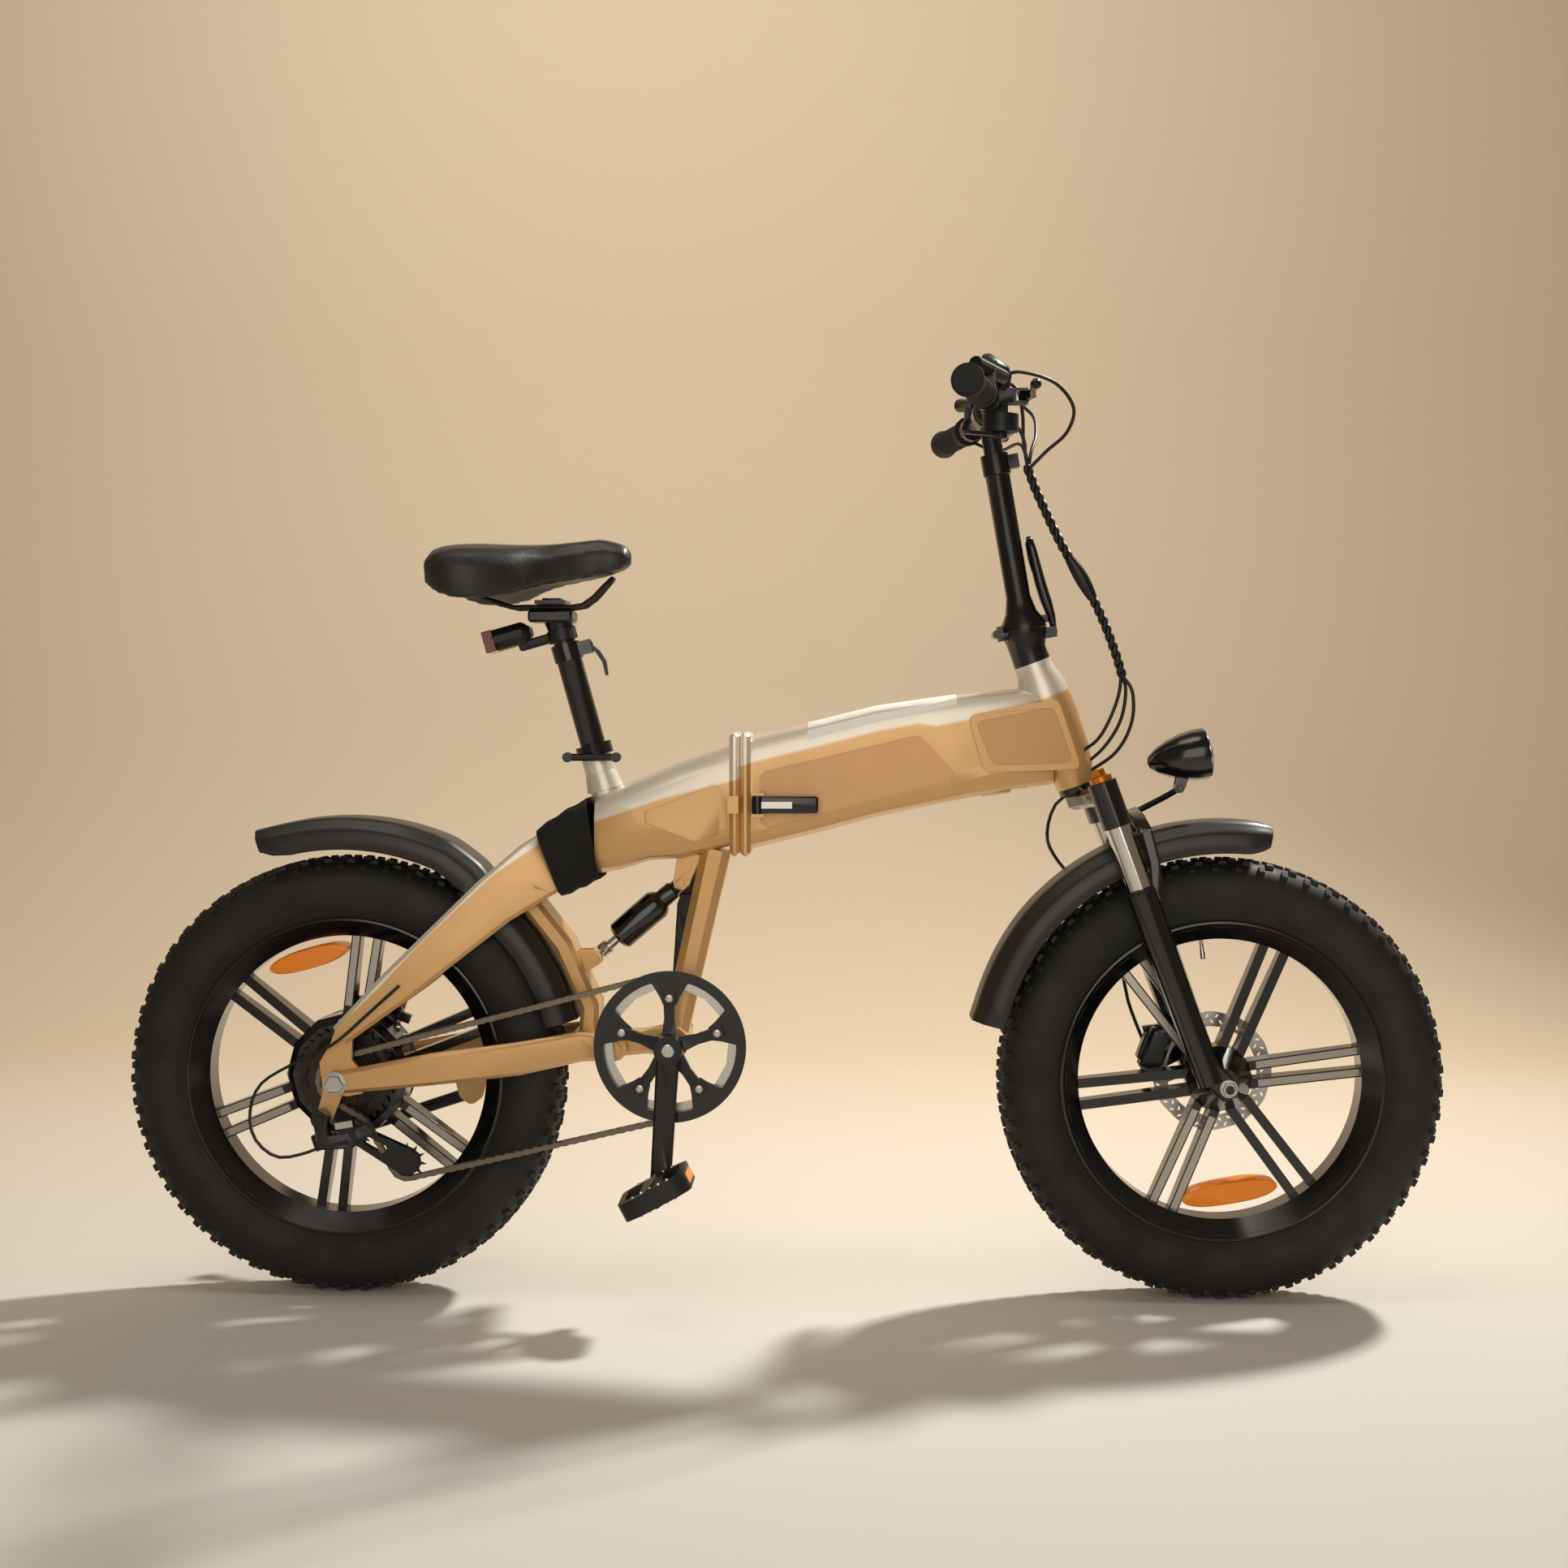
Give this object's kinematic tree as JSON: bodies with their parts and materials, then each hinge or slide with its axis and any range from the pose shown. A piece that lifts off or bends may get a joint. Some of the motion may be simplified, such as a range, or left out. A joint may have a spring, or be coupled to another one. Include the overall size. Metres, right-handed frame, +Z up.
{
  "type": "folding electric bicycle",
  "caption": "Gold folding electric bicycle with fat tyres, cast wheels, suspension fork, hub motor, chain drive and beam battery.",
  "frame": {"origin": "on the floor, midway between the two wheels and on the middle plane", "axes": "+X towards the front wheel, +Y towards the rider's left, +Z up"},
  "size_m": [1.73, 0.6304, 1.2337],
  "materials": {
    "gold_paint": "metallic gold lacquer",
    "black_metal": "satin black",
    "black_plastic": "fine matt",
    "rubber": "matt",
    "tyre_rubber": "matt",
    "bright_steel": "bright",
    "dark_chain": "oiled"
  },
  "bodies": {
    "rear_frame": {"rear_frame": "gold_paint", "seat_collar": "black_metal", "frame_sleeve": "rubber"},
    "lower_post": {"seatpost_outer": "black_metal"},
    "seat_lever": {"seat_lever": "bright_steel"},
    "upper_post": {"seatpost_inner": "black_metal", "saddle_rails": "bright_steel", "saddle": "rubber", "rear_light": "black_plastic"},
    "crank": {"crank_arm_right": "black_metal", "crank_arm_left": "black_metal", "chainring": "bright_steel", "chain_guard": "black_plastic"},
    "pedal_right": {"pedal_right": "black_plastic"},
    "pedal_left": {"pedal_left": "black_plastic"},
    "suspension_arm": {"swingarm": "gold_paint", "rear_caliper": "black_metal", "rear_mudguard": "black_plastic", "derailleur_body": "black_metal", "chain": "dark_chain", "shift_cable": "rubber"},
    "derailleur_cage": {"derailleur_cage": "black_metal"},
    "upper_pulley": {"upper_pulley": "black_plastic"},
    "lower_pulley": {"lower_pulley": "black_plastic"},
    "kickstand": {"kickstand": "black_metal"},
    "rear_wheel": {"rear_wheel": "black_metal", "rear_tyre": "tyre_rubber", "rear_rotor": "bright_steel"},
    "freewheel": {"freewheel": "dark_chain"},
    "shock_body": {"shock_body": "black_metal"},
    "shock_shaft": {"shock_shaft": "black_metal"},
    "front_frame": {"front_frame": "gold_paint", "battery_pack": "black_plastic"},
    "frame_latch": {"frame_latch": "black_metal"},
    "steerer": {"fork_crown": "black_metal", "stem_base": "black_metal"},
    "preload_knob": {"preload_knob": "black_plastic"},
    "fork_lower": {"fork_lowers": "black_metal", "front_caliper": "black_metal", "front_mudguard": "black_plastic", "front_brake_hose": "rubber"},
    "headlight": {"headlight": "black_plastic"},
    "front_wheel": {"front_wheel": "black_metal", "front_tyre": "tyre_rubber", "front_rotor": "bright_steel"},
    "stem": {"stem_tube": "black_metal"},
    "stem_latch": {"stem_latch": "black_metal"},
    "bar": {"bar_post": "black_metal", "handlebar": "black_metal", "grip_right": "rubber", "grip_left": "rubber", "brake_master_right": "black_metal", "brake_master_left": "black_metal", "shifter": "black_plastic", "display": "black_plastic", "control_loom": "rubber"},
    "brake_lever_right": {"brake_lever_right": "black_metal"},
    "brake_lever_left": {"brake_lever_left": "black_metal"},
    "shift_lever": {"shift_lever": "bright_steel"},
    "throttle": {"throttle": "black_plastic"}
  },
  "joints": [
    {"name": "frame_fold", "type": "hinge", "parent": "rear_frame", "child": "front_frame", "pos_m": [-0.052, 0.061, 0.66], "axis": [0, 0, 1], "range_deg": [0, 150]},
    {"name": "frame_latch", "type": "hinge", "parent": "front_frame", "child": "frame_latch", "pos_m": [-0.028, -0.063, 0.651], "axis": [0, 0, 1], "range_deg": [-110, 0]},
    {"name": "steering", "type": "hinge", "parent": "front_frame", "child": "steerer", "pos_m": [0.3884, 0, 0.67486], "axis": [-0.3453, 0, 0.9385], "range_deg": [-60, 60]},
    {"name": "preload_knob", "type": "hinge", "parent": "steerer", "child": "preload_knob", "pos_m": [0.41092, -0.076, 0.68314], "axis": [-0.3453, 0, 0.9385], "range_deg": [0, 90]},
    {"name": "fork_travel", "type": "slide", "parent": "steerer", "child": "fork_lower", "axis": [-0.3453, 0, 0.9385], "range_m": [0, 0.045], "stiffness_N_per_m": 8000, "springref_m": -0.02, "deforming": ["front_brake_hose"]},
    {"name": "headlight_tilt", "type": "hinge", "parent": "fork_lower", "child": "headlight", "pos_m": [0.522, 0, 0.671], "axis": [0, 1, 0], "range_deg": [-20, 20]},
    {"name": "front_wheel_spin", "type": "hinge", "parent": "fork_lower", "child": "front_wheel", "pos_m": [0.575, 0, 0.29], "axis": [0, 1, 0], "continuous": true},
    {"name": "stem_fold", "type": "hinge", "parent": "steerer", "child": "stem", "pos_m": [0.28255, 0, 0.87166], "axis": [0, 1, 0], "range_deg": [-90, 0]},
    {"name": "stem_latch", "type": "hinge", "parent": "steerer", "child": "stem_latch", "pos_m": [0.3565, 0, 0.87556], "axis": [0, 1, 0], "range_deg": [0, 95]},
    {"name": "bar_height", "type": "slide", "parent": "stem", "child": "bar", "axis": [-0.1736, 0, 0.9848], "range_m": [0, 0.08], "deforming": ["control_loom"]},
    {"name": "brake_lever_right", "type": "hinge", "parent": "bar", "child": "brake_lever_right", "pos_m": [0.30524, -0.14916, 1.16008], "axis": [0, 0, 1], "range_deg": [-20, 0], "stiffness_Nm_per_rad": 1, "springref_deg": 11.46},
    {"name": "brake_lever_left", "type": "hinge", "parent": "bar", "child": "brake_lever_left", "pos_m": [0.30524, 0.14916, 1.16008], "axis": [0, 0, 1], "range_deg": [0, 20], "stiffness_Nm_per_rad": 1, "springref_deg": -11.46},
    {"name": "shift_lever", "type": "hinge", "parent": "bar", "child": "shift_lever", "pos_m": [0.27831, -0.1138, 1.11611], "axis": [0, 0, 1], "range_deg": [0, 25], "stiffness_Nm_per_rad": 0.4, "springref_deg": -11.46},
    {"name": "throttle", "type": "hinge", "parent": "bar", "child": "throttle", "pos_m": [0.25312, 0.18061, 1.15885], "axis": [-0.1882, 0.982, -0.0122], "range_deg": [-60, 0], "stiffness_Nm_per_rad": 0.3, "springref_deg": 11.46},
    {"name": "seatpost_slide", "type": "slide", "parent": "rear_frame", "child": "lower_post", "axis": [-0.2672, 0, 0.9636], "range_m": [-0.075, 0.02]},
    {"name": "seat_lever", "type": "hinge", "parent": "lower_post", "child": "seat_lever", "pos_m": [-0.25375, 0, 0.85992], "axis": [0, 1, 0], "range_deg": [-120, 0]},
    {"name": "saddle_slide", "type": "slide", "parent": "lower_post", "child": "upper_post", "axis": [-0.2672, 0, 0.9636], "range_m": [0, 0.06]},
    {"name": "crank_spin", "type": "hinge", "parent": "rear_frame", "child": "crank", "pos_m": [-0.142, 0, 0.337], "axis": [0, 1, 0], "continuous": true, "deforming": ["chain"]},
    {"name": "pedal_right_spin", "type": "hinge", "parent": "crank", "child": "pedal_right", "pos_m": [-0.15208, 0, 0.1673], "axis": [0, 1, 0], "continuous": true},
    {"name": "pedal_left_spin", "type": "hinge", "parent": "crank", "child": "pedal_left", "pos_m": [-0.13192, 0, 0.5067], "axis": [0, 1, 0], "continuous": true},
    {"name": "swingarm_pivot", "type": "hinge", "parent": "rear_frame", "child": "suspension_arm", "pos_m": [-0.217, 0, 0.331], "axis": [0, 1, 0], "range_deg": [0, 6.5], "stiffness_Nm_per_rad": 400, "springref_deg": -11.46, "deforming": ["frame_sleeve", "shift_cable"]},
    {"name": "shock_pivot", "type": "hinge", "parent": "rear_frame", "child": "shock_body", "pos_m": [-0.132, 0, 0.545], "axis": [0, 1, 0], "range_deg": [-3, 0.1]},
    {"name": "shock_travel", "type": "slide", "parent": "shock_body", "child": "shock_shaft", "axis": [0.7522, 0, 0.659], "range_m": [-0.0001, 0.0114]},
    {"name": "rear_wheel_spin", "type": "hinge", "parent": "suspension_arm", "child": "rear_wheel", "pos_m": [-0.575, 0, 0.29], "axis": [0, 1, 0], "continuous": true},
    {"name": "freewheel_spin", "type": "hinge", "parent": "suspension_arm", "child": "freewheel", "pos_m": [-0.575, 0, 0.29], "axis": [0, 1, 0], "continuous": true},
    {"name": "cage_swing", "type": "hinge", "parent": "suspension_arm", "child": "derailleur_cage", "pos_m": [-0.558, 0, 0.222], "axis": [0, 1, 0], "range_deg": [-15, 35], "stiffness_Nm_per_rad": 2},
    {"name": "upper_pulley_spin", "type": "hinge", "parent": "derailleur_cage", "child": "upper_pulley", "pos_m": [-0.558, 0, 0.222], "axis": [0, 1, 0], "continuous": true},
    {"name": "lower_pulley_spin", "type": "hinge", "parent": "derailleur_cage", "child": "lower_pulley", "pos_m": [-0.48683, 0, 0.18333], "axis": [0, 1, 0], "continuous": true},
    {"name": "kickstand_swing", "type": "hinge", "parent": "suspension_arm", "child": "kickstand", "pos_m": [-0.43, 0.104, 0.244], "axis": [0, 1, 0], "range_deg": [-60, 0]}
  ],
  "couplings": [
    {"joint": "freewheel_spin", "follows": "crank_spin", "ratio": 3.2857},
    {"joint": "upper_pulley_spin", "follows": "crank_spin", "ratio": -4.1818},
    {"joint": "lower_pulley_spin", "follows": "crank_spin", "ratio": 4.1818},
    {"joint": "shock_pivot", "follows": "swingarm_pivot", "ratio": -0.454},
    {"joint": "shock_travel", "follows": "swingarm_pivot", "m_per_rad": 0.0989}
  ]
}
